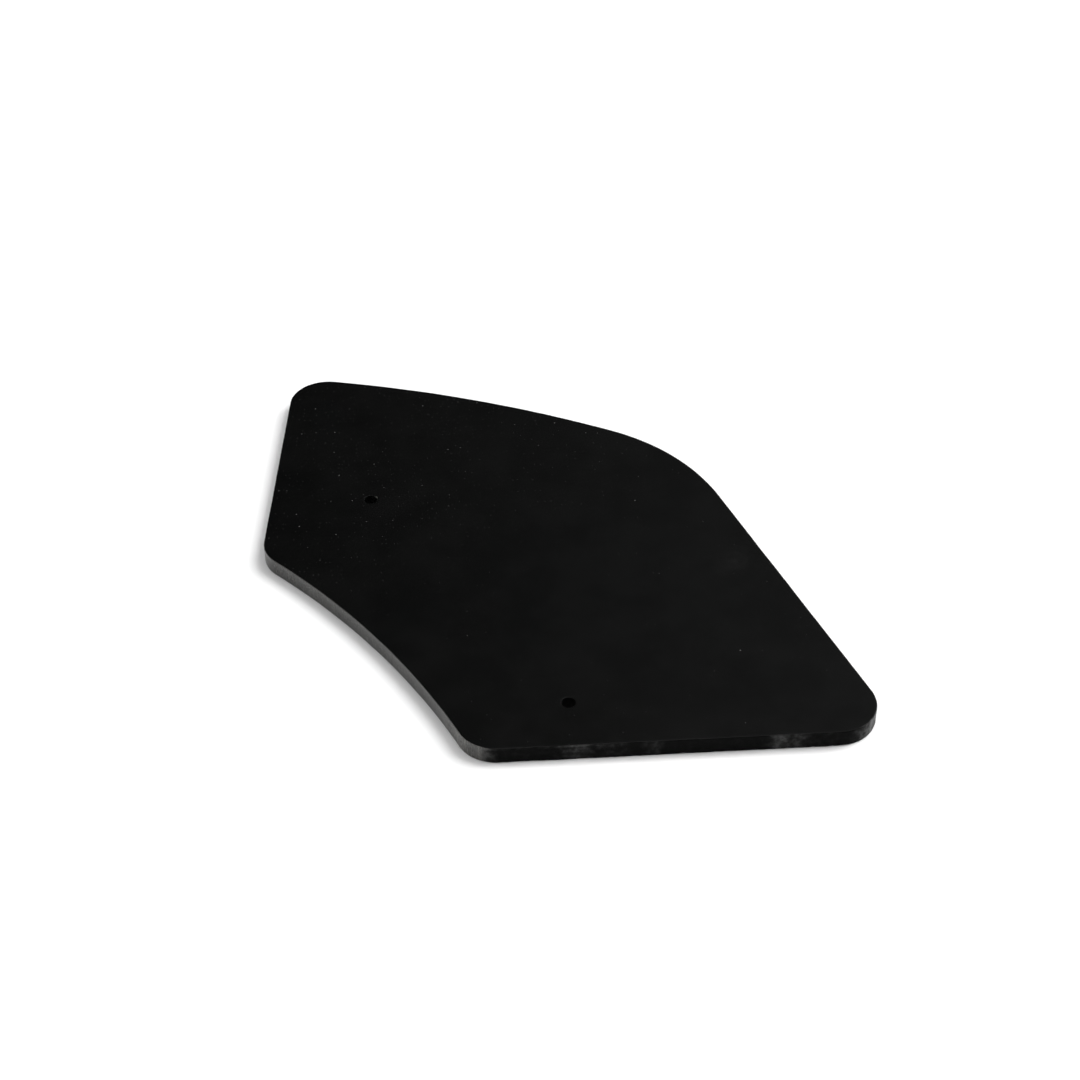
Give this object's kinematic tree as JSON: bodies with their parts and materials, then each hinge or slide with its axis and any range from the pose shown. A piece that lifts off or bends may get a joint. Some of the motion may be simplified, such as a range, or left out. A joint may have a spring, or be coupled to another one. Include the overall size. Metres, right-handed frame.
{
  "type": "kick paddle",
  "caption": "Flat five-sided blade cut from black sheet plastic, one side swelling out and one hollowed in, rounded corners, with two small through holes for screws.",
  "frame": {"origin": "middle of the bounding box of the underside, at the height of the underside", "axes": "+Z is the sheet's thickness, from the underside to the upper face; +X runs along the long straight foot from heel to toe; +Y runs from the foot towards the tip"},
  "size_m": [0.1016, 0.1018, 0.0032],
  "materials": {
    "black_sheet": "near-black sheet plastic, satin faces, glossier cut edge"
  },
  "bodies": {
    "root": {"paddle_blade": "black_sheet"}
  },
  "joints": []
}
